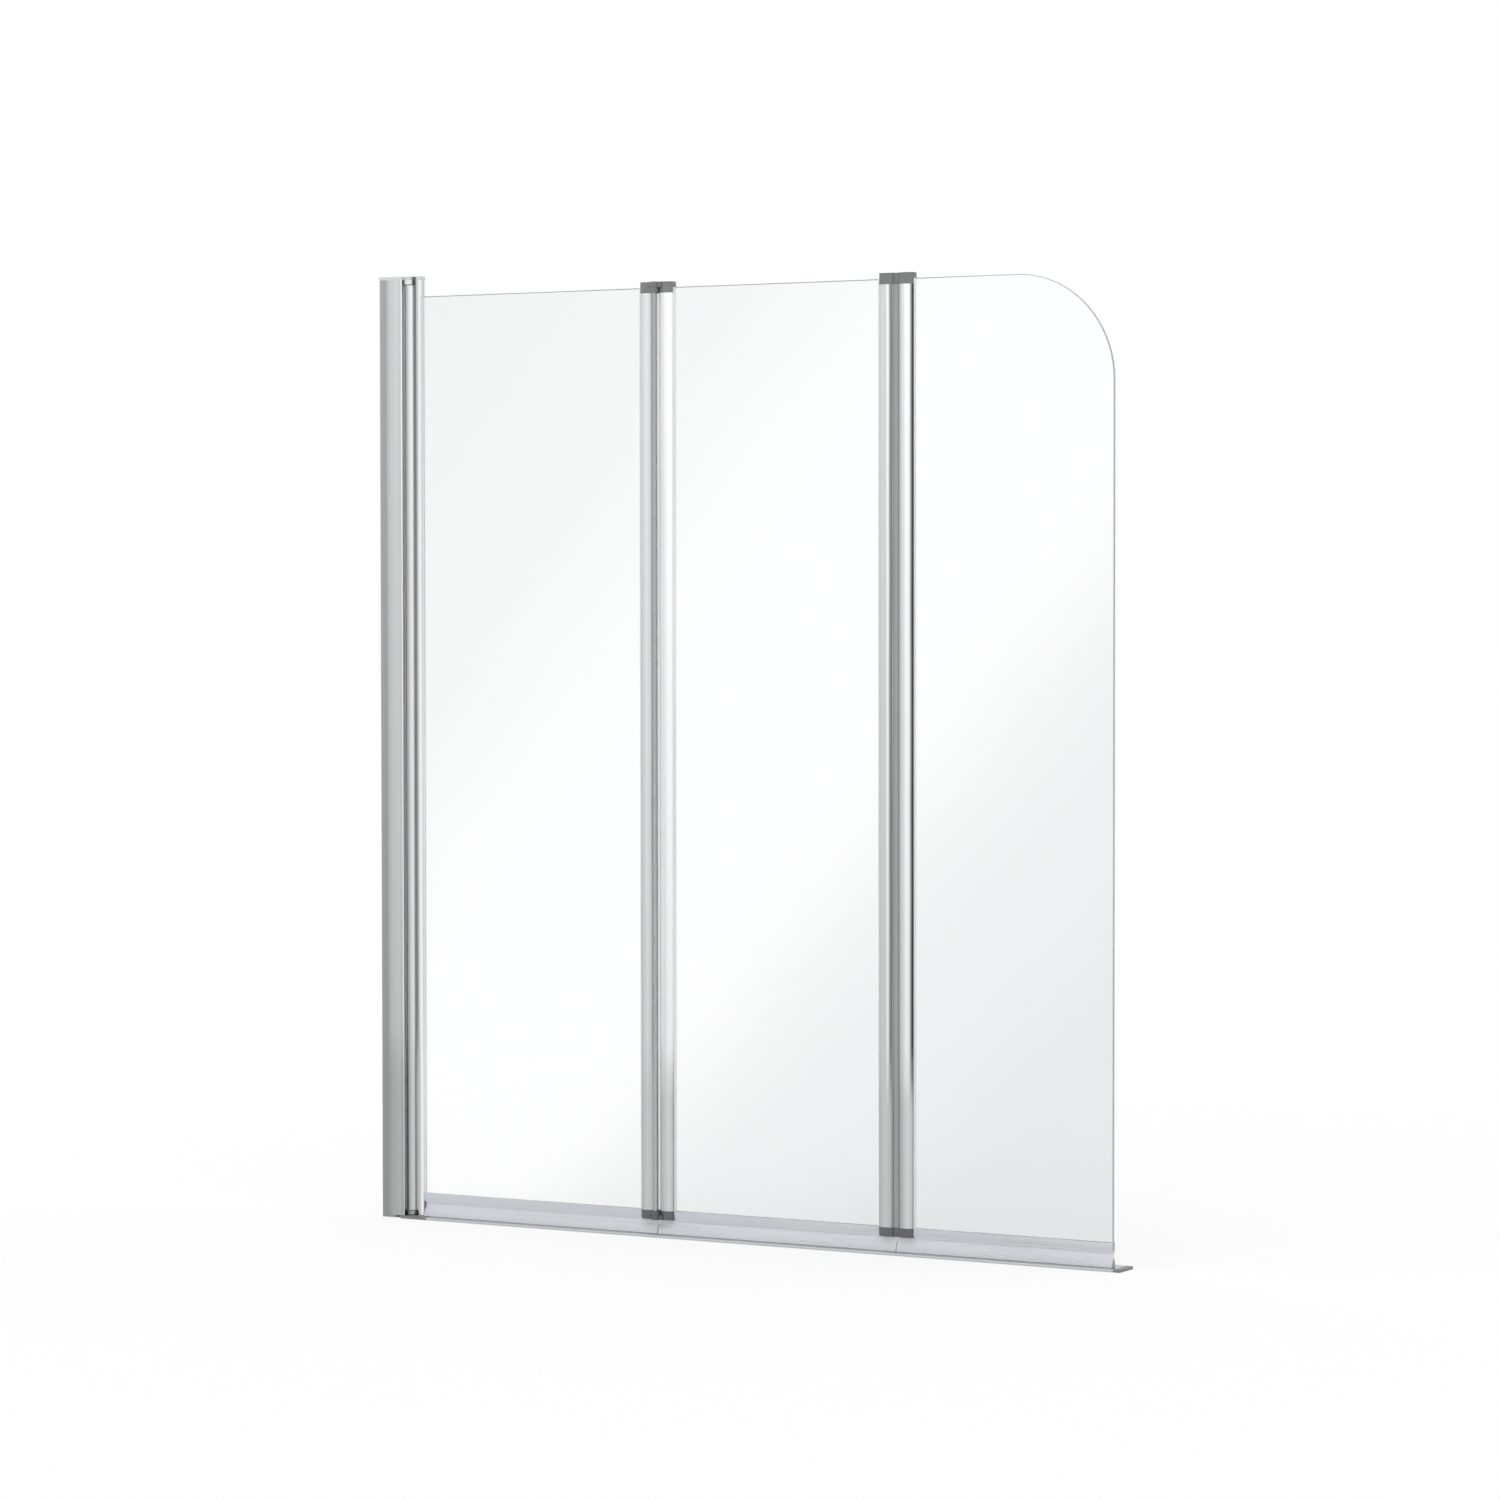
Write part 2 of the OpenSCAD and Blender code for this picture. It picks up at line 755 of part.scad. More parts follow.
// The second fold opens on the inner face, so its hinge is turned over
module at_fold_2() {
    translate([fold_2_x, 0, 0]) mirror([0, 1, 0]) children();
}

// The second leaf is the mirror image of the first
module second_leaf() {
    mirror([1, 0, 0]) children();
}

module hinge_1_leaf_a() { at_fold_1() leaf(); }
module hinge_1_gasket_a() { at_fold_1() leaf_gasket(-1); }
module hinge_1_top_cap_a() { at_fold_1() top_cap(true, fixed_bore_r); }
module hinge_1_bottom_cap_a() { at_fold_1() bottom_cap(true, fixed_bore_r); }
module hinge_1_rod() { at_fold_1() rod(); }
module hinge_1_water_strip() { at_fold_1() water_strip(); }
module hinge_1_leaf_b() { at_fold_1() second_leaf() leaf(); }
module hinge_1_gasket_b() { at_fold_1() second_leaf() leaf_gasket(-1); }
module hinge_1_top_cap_b() { at_fold_1() second_leaf() top_cap(false, turning_bore_r); }
module hinge_1_bottom_cap_b() { at_fold_1() second_leaf() bottom_cap(false, turning_bore_r); }

module hinge_2_leaf_a() { at_fold_2() leaf(); }
module hinge_2_gasket_a() { at_fold_2() leaf_gasket(1); }
module hinge_2_top_cap_a() { at_fold_2() top_cap(true, fixed_bore_r); }
module hinge_2_bottom_cap_a() { at_fold_2() bottom_cap(true, fixed_bore_r); }
module hinge_2_rod() { at_fold_2() rod(); }
module hinge_2_water_strip() { at_fold_2() water_strip(); }
module hinge_2_leaf_b() { at_fold_2() second_leaf() leaf(); }
module hinge_2_gasket_b() { at_fold_2() second_leaf() leaf_gasket(1); }
module hinge_2_top_cap_b() { at_fold_2() second_leaf() top_cap(false, turning_bore_r); }
module hinge_2_bottom_cap_b() { at_fold_2() second_leaf() bottom_cap(false, turning_bore_r); }

wall_channel();
adjusting_profile();
side_screws();
top_cover();
cover_screws();
top_pivot_block();
top_pivot_pin();
top_pivot_cap();
bottom_pivot_block();
bottom_pivot_pin();
threshold_strip();
threshold_foot();
threshold_end_cap();
pivot_column();
grip_top_cap();
top_pivot_bush();
bottom_pivot_bush();
pivot_gasket();
glass_1();
bottom_seal_1();
hinge_1_leaf_a();
hinge_1_gasket_a();
hinge_1_top_cap_a();
hinge_1_bottom_cap_a();
hinge_1_rod();
hinge_1_water_strip();
hinge_1_leaf_b();
hinge_1_gasket_b();
hinge_1_top_cap_b();
hinge_1_bottom_cap_b();
glass_2();
bottom_seal_2();
hinge_2_leaf_a();
hinge_2_gasket_a();
hinge_2_top_cap_a();
hinge_2_bottom_cap_a();
hinge_2_rod();
hinge_2_water_strip();
hinge_2_leaf_b();
hinge_2_gasket_b();
hinge_2_top_cap_b();
hinge_2_bottom_cap_b();
glass_3();
bottom_seal_3();
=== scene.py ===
import json
import math

import bmesh
import bpy
from bpy.props import FloatProperty, FloatVectorProperty, PointerProperty
from mathutils import Matrix, Vector


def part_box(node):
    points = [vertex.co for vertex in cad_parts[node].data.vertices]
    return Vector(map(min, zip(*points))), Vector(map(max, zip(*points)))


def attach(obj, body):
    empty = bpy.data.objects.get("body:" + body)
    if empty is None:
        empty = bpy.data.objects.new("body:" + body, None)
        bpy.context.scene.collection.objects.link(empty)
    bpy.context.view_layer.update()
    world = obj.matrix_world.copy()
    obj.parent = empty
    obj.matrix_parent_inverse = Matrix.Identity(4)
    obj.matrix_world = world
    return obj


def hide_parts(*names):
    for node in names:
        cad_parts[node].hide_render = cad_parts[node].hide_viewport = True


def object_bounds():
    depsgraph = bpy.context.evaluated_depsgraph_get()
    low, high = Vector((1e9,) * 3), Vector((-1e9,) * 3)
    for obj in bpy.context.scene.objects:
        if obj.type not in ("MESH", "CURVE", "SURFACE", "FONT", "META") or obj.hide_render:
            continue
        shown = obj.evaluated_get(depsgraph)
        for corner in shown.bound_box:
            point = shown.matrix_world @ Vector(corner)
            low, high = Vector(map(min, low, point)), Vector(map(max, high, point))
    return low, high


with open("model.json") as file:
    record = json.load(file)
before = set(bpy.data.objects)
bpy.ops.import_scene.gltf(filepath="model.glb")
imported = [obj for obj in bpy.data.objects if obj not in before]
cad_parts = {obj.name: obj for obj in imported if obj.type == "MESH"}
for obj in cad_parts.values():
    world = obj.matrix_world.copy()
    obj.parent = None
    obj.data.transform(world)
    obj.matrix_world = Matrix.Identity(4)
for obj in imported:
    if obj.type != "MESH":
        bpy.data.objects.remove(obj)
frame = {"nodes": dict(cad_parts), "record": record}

CAD_LOW, CAD_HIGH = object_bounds()

bl_info = {
    "name": "Folding bath screen",
    "version": (1, 0, 0),
    "blender": (4, 5, 0),
    "location": "3D View > Sidebar > Bath Screen",
    "description": "Finishes the panes, profiles, hinges and seals of a three-panel folding bath screen",
    "category": "Object",
}

MM = 0.001

# the colour sockets of a mix node, which share their names with its number sockets
MIX_FIRST, MIX_SECOND, MIX_RESULT = 6, 7, 2

# which body each node of the frame has
BODY_OF = {n: body for body, nodes in frame["record"]["behaviour"]["bodies"].items() for n in nodes}

# places read from the frame: the pivot column's axis and radius, and the free edge of the glass
PIN_LOW, PIN_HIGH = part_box("top_pivot_pin")
PIVOT_X = (PIN_LOW.x + PIN_HIGH.x) / 2
COLUMN_R = PIVOT_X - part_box("pivot_column")[0].x
FREE_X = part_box("glass_3")[1].x

# merging and shading of the copied solids
MERGE_DIST = 0.001 * MM
FLAT_ANGLE = math.radians(1)
CORNER_ANGLE = math.radians(40)
SHARP_ANGLE = math.radians(50)

# a point lies on a surface that is nearer than this
ON_SURFACE = 0.1 * MM
# shares of a face's normal that tell the sides of a piece, the grip's back and the leaf's end towards the
# wall, and a pane's broad faces and flat rims
UPRIGHT_BELOW = 0.5
GRIP_BACK_BELOW = -0.3
LEAF_END_BELOW = -0.2
BROAD_ABOVE = 0.999
RIM_BELOW = 0.001

# the adjusting profile's inner faces lie deeper than this under its outer faces, and the grip's faces
# farther than this from the round column
PROFILE_SKIN = 1.2 * MM
GRIP_CLEAR = 0.5 * MM
# the cross recess of a side screw lies within this radius, and the rim of its head outside it
RECESS_CLEAR_R = 2.6 * MM
# the edge along the cover's sides is nearer to them than this, and its screw holes are not
COVER_RIM = 6 * MM
COVER_SCREW_EDGE = 0.12 * MM
BUSH_EDGE = 0.2 * MM

PANES = (1, 2, 3)
FOLDS = (1, 2)

# the free top corner of the third pane
PANE_CORNER_R = 150 * MM
PANE_CORNER_STEPS = 64

# the sealing lips: where they bend, and by how much
LIP_TIP_Z = 5 * MM
LIP_ROOT_Z = 12 * MM
LIP_CUTS = 4
LIP_BULGE = 0.9 * MM
LIP_LEAN = Vector((0, 0.92, 0.39))

# painted reflections in the clear glass, as faint slanting shades: their slope, how much they waver, where
# they start and end along the screen at rim height, and their display colours from start to end
SHADE_SLOPE = 0.92
SHADE_WAVER = 0.05
SHADE_ENDS = (-1.20, 1.17)
GLASS_PAINTED_REFLECTIONS = [
    (0.0, (0.948, 0.950, 0.953)), (0.20, (0.962, 0.965, 0.967)), (0.42, (0.998, 0.999, 1.0)),
    (0.56, (0.998, 0.999, 1.0)), (0.74, (0.942, 0.944, 0.948)), (0.90, (0.912, 0.915, 0.920)),
]

# painted reflections and painted shade on each polished profile, as display greys, first high up and then near
# the rim, as (place, grey) pairs from its wall side to its free side. On the column and the cast blocks they
# go round the column's axis
LOW_LEAF_A_REFLECTIONS = [(0, 0.66), (0.25, 0.74), (0.55, 0.77), (0.80, 0.74), (0.92, 0.64), (1, 0.62)]
LOW_LEAF_B_REFLECTIONS = [(0, 0.58), (0.25, 0.68), (0.5, 0.78), (0.75, 0.81), (0.92, 0.76), (1, 0.68)]
PAINTED_REFLECTION_BANDS = {
    "wall_channel": (
        [(0, 0.66), (0.25, 0.63), (0.45, 0.64), (1, 0.60)],
        [(0, 0.60), (0.25, 0.57), (0.45, 0.59), (1, 0.55)]),
    "adjusting_profile": (
        [(0, 0.66), (0.12, 0.73), (0.35, 0.78), (0.72, 0.80), (0.86, 0.77), (0.93, 0.80), (0.97, 0.95)],
        [(0, 0.59), (0.12, 0.62), (0.35, 0.66), (0.72, 0.69), (0.86, 0.66), (0.93, 0.62), (0.97, 0.80)]),
    "cast_block": (
        [(0, 0.80), (0.40, 0.78), (0.60, 0.88), (0.74, 0.86), (0.84, 0.52), (0.92, 0.38), (1, 0.36)],
        [(0, 0.40), (0.42, 0.38), (0.56, 0.52), (0.70, 0.66), (0.82, 0.52), (0.92, 0.36), (1, 0.33)]),
    "column": (
        [(0, 0.96), (0.38, 0.94), (0.45, 0.71), (0.52, 0.66), (0.58, 0.76), (0.65, 0.87), (0.73, 0.90),
         (0.80, 0.91), (0.86, 0.95), (0.93, 0.90), (1, 0.75)],
        [(0, 0.90), (0.30, 0.85), (0.38, 0.60), (0.44, 0.53), (0.52, 0.62), (0.64, 0.76), (0.74, 0.79),
         (0.85, 0.76), (1, 0.70)]),
    "grip": (
        [(0, 0.50), (0.35, 0.52), (0.48, 0.58), (0.62, 0.80), (0.74, 0.93), (1, 0.95)],
        [(0, 0.66), (0.35, 0.70), (0.5, 0.73), (0.62, 0.74), (0.78, 0.90), (1, 0.97)]),
    "hinge_1_leaf_a": (
        [(0, 0.75), (0.25, 0.82), (0.55, 0.88), (0.76, 0.84), (0.86, 0.70), (0.93, 0.54), (0.975, 0.52),
         (0.99, 0.80)], LOW_LEAF_A_REFLECTIONS),
    "hinge_1_leaf_b": (
        [(0.01, 0.97), (0.04, 0.84), (0.2, 0.83), (0.35, 0.87), (0.55, 0.94), (0.72, 0.985), (0.93, 0.985),
         (1, 0.96)], LOW_LEAF_B_REFLECTIONS),
    "hinge_2_leaf_a": (
        [(0, 0.77), (0.30, 0.82), (0.55, 0.82), (0.63, 0.94), (0.70, 0.95), (0.78, 0.72), (0.88, 0.48),
         (0.95, 0.50), (0.985, 0.86)], LOW_LEAF_A_REFLECTIONS),
    "hinge_2_leaf_b": (
        [(0, 0.68), (0.15, 0.77), (0.38, 0.87), (0.56, 0.965), (0.70, 0.98), (0.80, 0.90), (0.90, 0.55),
         (0.96, 0.28), (1, 0.24)], LOW_LEAF_B_REFLECTIONS),
}
# the leaf whose rounded end at the fold is satin, and the share of that satin's colour near the rim, which is
# painted shade
SATIN_END = "hinge_1_leaf_b"
SATIN_END_SHADED_LOW = 0.66
# painted shade on the pivot cap's sides, darker towards the grip, as shares of its colour round the column's
# axis
CAP_PAINTED_SHADE = [(0, 0.85), (0.30, 1), (0.72, 0.96), (0.82, 0.45), (0.90, 0.21), (1, 0.19)]

# between these heights the painted reflection bands change from those near the rim to those high up, whose
# painted light then brightens them from the low share to the top one
LOW_BANDS_END = 0.19
LOW_BANDS_START = 0.31
PAINTED_LIGHT_LOW = 0.88
PAINTED_LIGHT_TOP = 1.12
# how far the painted reflection bands waver across a bar, as a share of its width, and how far their change
# wavers in height
BAND_WAVER = 0.02
CHANGE_WAVER = 20 * MM

# cells of noise per metre along X, Y and Z, for the lines that run along each kind of piece
BAND_WAVES = (40, 40, 5)
POLISH_LINES = (2600, 2600, 9)
STEEL_LINES = (900, 900, 60)
INSIDE_LINES = (900, 900, 9)
STRIP_LINES = (12, 1500, 1500)
CLOUDS_UPRIGHT, LINES_UPRIGHT = (90, 90, 5), (900, 900, 12)
CLOUDS_ALONG, LINES_ALONG = (5, 90, 90), (12, 900, 900)
LINE_DEPTH = 0.02 * MM

# moulded plastic: cells of its grain per metre, grains across one patch of its mottle, and the smoother
# surface of the cover and of the caps beside it
MOULD_GRAIN = 1600
GRAINS_IN_PATCH = 30
COVER_SURFACE = {"roughness": 0.32, "grain_scale": 900, "contrast": 0.03, "depth": 0.01}

# how far the gaskets stand off the glass in them and the metal round them
GASKET_EASE = 0.03 * MM

# the stage: the share of the floor's white that no shadow darkens, the floor's grey as the object sees it,
# its place and sides, the spread and turn of the lamp, and the width of the camera's sensor in millimetres
FLOOR_WHITE = 0.72
FLOOR_GREY = 0.8
FLOOR_SIDES = 96
FLOOR_X = 0.6
FLOOR_GAP = 0.2 * MM
LAMP_SPREAD = math.radians(70)
LAMP_TURN = tuple(math.radians(turn) for turn in (38, -14, 8))
SENSOR_WIDTH = 36


def grey(value):
    """Linear value of a display grey from 0 to 1."""
    return value / 12.92 if value <= 0.04045 else ((value + 0.055) / 1.055) ** 2.4


# ---------- settings ----------

class ScreenShape(bpy.types.PropertyGroup):
    glass_arris: FloatProperty(
        name="Glass arris", description="Width of the ground edge round each pane",
        default=1.2 * MM, min=0.3 * MM, max=2 * MM, unit="LENGTH", precision=4)
    moulded_edge: FloatProperty(
        name="Moulded edge", description="Radius of the edges of the moulded caps and blocks",
        default=0.5 * MM, min=0.1 * MM, max=1 * MM, unit="LENGTH", precision=4)
    cut_edge: FloatProperty(
        name="Cut edge", description="Radius of the deburred ends of the metal profiles",
        default=0.25 * MM, min=0.05 * MM, max=0.5 * MM, unit="LENGTH", precision=5)
    cover_edge: FloatProperty(
        name="Cover edge", description="Radius of the upper edge of the top cover",
        default=1.2 * MM, min=0.2 * MM, max=2 * MM, unit="LENGTH", precision=4)
    soft_edge: FloatProperty(
        name="Soft edge", description="Radius of the edges of gaskets and seals",
        default=0.25 * MM, min=0.05 * MM, max=0.5 * MM, unit="LENGTH", precision=5)
    screw_dome: FloatProperty(
        name="Screw dome", description="Rounding of the side screws' heads",
        default=0.9 * MM, min=0.2 * MM, max=1.5 * MM, unit="LENGTH", precision=4)


class ScreenFinish(bpy.types.PropertyGroup):
    metal_tint: FloatVectorProperty(
        name="Metal tint", description="Tint of the polished aluminium",
        default=(0.985, 0.993, 1.0), min=0, max=1, subtype="COLOR")
    steel: FloatVectorProperty(
        name="Steel", description="Colour of pins, rods and screws",
        default=(0.42, 0.43, 0.44), min=0, max=1, subtype="COLOR")
    cap: FloatVectorProperty(
        name="Cap", description="Colour of the upper hinge caps and the strip's end pieces",
        default=(0.205, 0.206, 0.210), min=0, max=1, subtype="COLOR")
    # painted shade: the lower caps are darker than the upper ones
    shaded_low_cap: FloatVectorProperty(
        name="Lower cap", description="Colour of the lower hinge caps",
        default=(0.118, 0.120, 0.125), min=0, max=1, subtype="COLOR")
    cover: FloatVectorProperty(
        name="Cover", description="Colour of the top cover and of the caps beside it",
        default=(0.70, 0.705, 0.71), min=0, max=1, subtype="COLOR")
    bush: FloatVectorProperty(
        name="Bush", description="Colour of the pivot bushes",
        default=(0.30, 0.305, 0.31), min=0, max=1, subtype="COLOR")
    gasket: FloatVectorProperty(
        name="Gasket", description="Colour of the clear glazing gaskets and the inner water strip",
        default=(0.965, 0.97, 0.975), min=0, max=1, subtype="COLOR")
    # painted shade: the water strip that faces outwards is dark grey, while the one that faces inwards is
    # clear
    shaded_outer_strip: FloatVectorProperty(
        name="Outer water strip", description="Colour of the water strip that faces outwards",
        default=(0.36, 0.362, 0.366), min=0, max=1, subtype="COLOR")
    seal: FloatVectorProperty(
        name="Seal", description="Colour of the clear bottom seals",
        default=(0.90, 0.918, 0.965), min=0, max=1, subtype="COLOR")
    strip: FloatVectorProperty(
        name="Threshold strip", description="Colour of the satin threshold strip",
        default=(0.50, 0.51, 0.515), min=0, max=1, subtype="COLOR")
    glass_edge: FloatVectorProperty(
        name="Glass edge", description="Colour of the flat rims of the glass",
        default=(0.92, 0.935, 0.93), min=0, max=1, subtype="COLOR")
    glass_bevel: FloatVectorProperty(
        name="Glass bevel", description="Colour of the ground arrises of the glass",
        default=(0.44, 0.465, 0.46), min=0, max=1, subtype="COLOR")


class ScreenStage(bpy.types.PropertyGroup):
    eye: FloatVectorProperty(
        name="Eye", description="Place of the camera",
        default=(3.98140, -5.92770, 0.93008), subtype="TRANSLATION", unit="LENGTH")
    yaw: FloatProperty(
        name="Yaw", description="Turn of the camera from the line across the bath",
        default=math.radians(29.507), subtype="ANGLE")
    pitch: FloatProperty(
        name="Pitch", description="How far the camera looks down",
        default=math.radians(1.858), subtype="ANGLE")
    roll: FloatProperty(
        name="Roll", description="Turn of the camera about its line of sight",
        default=math.radians(-0.055), subtype="ANGLE")
    lens: FloatProperty(
        name="Lens", description="Focal length in millimetres, for a sensor 36 mm wide",
        default=114.12, min=10, max=300, unit="CAMERA")
    floor_size: FloatProperty(
        name="Floor size", description="Radius of the pale floor",
        default=40, min=5, max=100, unit="LENGTH")
    plain_light: FloatProperty(
        name="Plain light", description="Strength of the even light on the object",
        default=0.86, min=0, max=1, subtype="FACTOR")
    lamp: FloatProperty(
        name="Lamp", description="Strength of the wide soft lamp",
        default=0.55, min=0, max=3, subtype="FACTOR")


# ---------- materials ----------

def add_node(tree, kind, inputs=None, **settings):
    """A node with its settings, and with its inputs set to values or linked to sockets."""
    made = tree.nodes.new(kind)
    for key, value in settings.items():
        setattr(made, key, value)
    for socket, value in (inputs or {}).items():
        if isinstance(value, bpy.types.NodeSocket):
            tree.links.new(value, made.inputs[socket])
        else:
            made.inputs[socket].default_value = value
    return made


def math_node(tree, operation, *values):
    return add_node(tree, "ShaderNodeMath", dict(enumerate(values)), operation=operation).outputs[0]


def new_finish(name, **sockets):
    """A material with its shader's own sockets set; names use _ for spaces."""
    made = bpy.data.materials.new(name)
    made.use_nodes = True
    shader = made.node_tree.nodes["Principled BSDF"]
    for key, value in sockets.items():
        socket = shader.inputs[key.replace("_", " ")]
        socket.default_value = (*value, 1) if socket.type == "RGBA" else value
    return made, made.node_tree, shader


def object_place(tree, location=(0, 0, 0), scale=(1, 1, 1)):
    """Object coordinates, moved and scaled."""
    place = add_node(tree, "ShaderNodeTexCoord").outputs["Object"]
    return add_node(tree, "ShaderNodeMapping",
                    {"Vector": place, "Location": location, "Scale": scale}).outputs["Vector"]


def spread(tree, value, low, high, to_low=0.0, to_high=1.0):
    """A value's place between two ends, moved to two other ends."""
    return add_node(tree, "ShaderNodeMapRange",
                    {"Value": value, "From Min": low, "From Max": high,
                     "To Min": to_low, "To Max": to_high}).outputs["Result"]


def colour_ramp(tree, factor, stops, interpolation="EASE"):
    """stops are (place, colour) pairs."""
    made = add_node(tree, "ShaderNodeValToRGB", {"Fac": factor})
    elements = made.color_ramp.elements
    made.color_ramp.interpolation = interpolation
    while len(elements) < len(stops):
        elements.new(0.5)
    for element, (place, colour) in zip(elements, stops):
        element.position = place
        element.color = (*colour, 1)
    return made.outputs["Color"]


def shaded(colour, share):
    """A colour times a share, no brighter than white."""
    return [min(part * share, 1) for part in colour]


def mottled(tree, factor, ends, colour, dark, light):
    """A colour that goes from a darker to a lighter share of itself between two ends of a factor."""
    return colour_ramp(tree, factor, list(zip(ends, (shaded(colour, dark), shaded(colour, light)))))


def mix_colours(tree, factor, first, second, **settings):
    return add_node(tree, "ShaderNodeMix", {"Factor": factor, MIX_FIRST: first, MIX_SECOND: second},
                    data_type="RGBA", **settings).outputs[MIX_RESULT]


def multiply_colours(tree, first, second, **settings):
    return mix_colours(tree, 1.0, first, second, blend_type="MULTIPLY", **settings)


def grain(tree, scale=1.0, detail=2.0, stretch=(1, 1, 1)):
    """Soft noise, finer with scale, or with stretch along each axis."""
    return add_node(tree, "ShaderNodeTexNoise",
                    {"Vector": object_place(tree, scale=stretch), "Scale": scale, "Detail": detail,
                     "Roughness": 0.55}).outputs["Fac"]


def set_bump(tree, shader, height, strength, distance):
    bump = add_node(tree, "ShaderNodeBump",
                    {"Height": height, "Strength": strength, "Distance": distance})
    tree.links.new(bump.outputs["Normal"], shader.inputs["Normal"])


def link_colour(tree, shader, colour):
    tree.links.new(colour, shader.inputs["Base Color"])


def link_roughness(tree, shader, value):
    tree.links.new(value, shader.inputs["Roughness"])


def along(tree, axis):
    """The place along one axis of the frame."""
    return add_node(tree, "ShaderNodeSeparateXYZ", {"Vector": object_place(tree)}).outputs[axis]


def across_x(tree, low, high):
    """0 to 1 across a profile, along the screen."""
    return spread(tree, along(tree, "X"), low, high)


def round_column(tree):
    """0 on the column's wall side, 0.5 on both faces of the screen, 1 on the glass side."""
    place = object_place(tree, location=(-PIVOT_X, 0, 0))
    axes = add_node(tree, "ShaderNodeSeparateXYZ", {"Vector": place}).outputs
    turn = math_node(tree, "ARCTAN2", axes["X"], math_node(tree, "ABSOLUTE", axes["Y"]))
    return spread(tree, turn, -math.pi / 2, math.pi / 2)


def polished_profile(name, across, tint, even=False):
    """Bright polished aluminium with painted reflections as the bands of that name, and painted light that
    brightens them towards the top unless even.
    """
    made, tree, shader = new_finish(name + "_metal", Metallic=1.0)
    place = across(tree)
    # the painted reflection bands waver a little along the length, as on a drawn and polished bar
    waver = grain(tree, detail=1.0, stretch=BAND_WAVES)
    place = math_node(tree, "ADD", place, spread(tree, waver, 0, 1, -BAND_WAVER, BAND_WAVER))
    height = along(tree, "Z")
    uneven = math_node(tree, "ADD", height, spread(tree, grain(tree, 30), 0, 1, -CHANGE_WAVER, CHANGE_WAVER))
    high = add_node(tree, "ShaderNodeMapRange",
                    {"Value": uneven, "From Min": LOW_BANDS_END, "From Max": LOW_BANDS_START},
                    interpolation_type="SMOOTHSTEP").outputs["Result"]
    # the painted reflections high up and near the rim
    high_ramp, low_ramp = [colour_ramp(tree, place, [(at, [grey(v) * t for t in tint]) for at, v in stops])
                           for stops in PAINTED_REFLECTION_BANDS[name]]
    # painted light: the bands high up get lighter towards the top
    if not even:
        painted_top_light = spread(tree, height, LOW_BANDS_START, CAD_HIGH.z, PAINTED_LIGHT_LOW, PAINTED_LIGHT_TOP)
        high_ramp = multiply_colours(tree, high_ramp, painted_top_light, clamp_result=True)
    link_colour(tree, shader, mix_colours(tree, high, low_ramp, high_ramp))
    # fine drawing lines along the bar
    lines = grain(tree, detail=3.0, stretch=POLISH_LINES)
    link_roughness(tree, shader, spread(tree, lines, 0.2, 0.8, 0.11, 0.22))
    set_bump(tree, shader, lines, 0.12, LINE_DEPTH)
    return made


def profile_metal(node, tint):
    """Polished metal whose painted reflection bands go across the whole of a straight profile."""
    low, high = span_x(node)
    return polished_profile(node, lambda tree: across_x(tree, low, high), tint)


def bright_steel(name, colour):
    """Drawn steel, with fine lines along the pins and rods."""
    made, tree, shader = new_finish(name, Metallic=1.0)
    lines = grain(tree, detail=3.0, stretch=STEEL_LINES)
    link_colour(tree, shader, mottled(tree, lines, (0.25, 0.75), colour, 0.86, 1.12))
    link_roughness(tree, shader, spread(tree, lines, 0.2, 0.8, 0.18, 0.34))
    set_bump(tree, shader, lines, 0.15, LINE_DEPTH)
    return made


def moulded(name, colour, roughness, grain_scale=MOULD_GRAIN, contrast=0.12, depth=0.03, painted_shade=None):
    """Moulded plastic with a fine spark-eroded grain, its depth in millimetres, and a soft mottle.

    The last argument gives painted shade: the share of the colour round the column's axis, as (place, share)
    pairs.
    """
    made, tree, shader = new_finish(name, IOR=1.5)
    fine = grain(tree, grain_scale, 4.0)
    mottle = grain(tree, grain_scale / GRAINS_IN_PATCH)
    mixed = math_node(tree, "ADD", spread(tree, fine, 0, 1, 0, 0.35), spread(tree, mottle, 0, 1, 0, 0.65))
    paint = mottled(tree, mixed, (0.25, 0.75), colour, 1 - contrast, 1 + contrast)
    # painted shade round the column's axis
    if painted_shade:
        shares = colour_ramp(tree, round_column(tree), [(at, (share,) * 3) for at, share in painted_shade])
        paint = multiply_colours(tree, paint, shares)
    link_colour(tree, shader, paint)
    link_roughness(tree, shader, spread(tree, fine, 0.3, 0.7, roughness - 0.06, roughness + 0.08))
    set_bump(tree, shader, fine, 0.4, depth * MM)
    return made


def soft_extrusion(name, colour, roughness, clear, upright=True):
    """Clear or milky soft plastic, drawn along its length, which is upright or along the screen."""
    made, tree, shader = new_finish(name, IOR=1.45, Transmission_Weight=clear)
    cloud = grain(tree, stretch=CLOUDS_UPRIGHT if upright else CLOUDS_ALONG)
    lines = grain(tree, stretch=LINES_UPRIGHT if upright else LINES_ALONG)
    link_colour(tree, shader, mottled(tree, cloud, (0.3, 0.7), colour, 0.96, 1.03))
    link_roughness(tree, shader, spread(tree, cloud, 0.25, 0.75, roughness - 0.06, roughness + 0.08))
    set_bump(tree, shader, lines, 0.10, LINE_DEPTH)
    return made


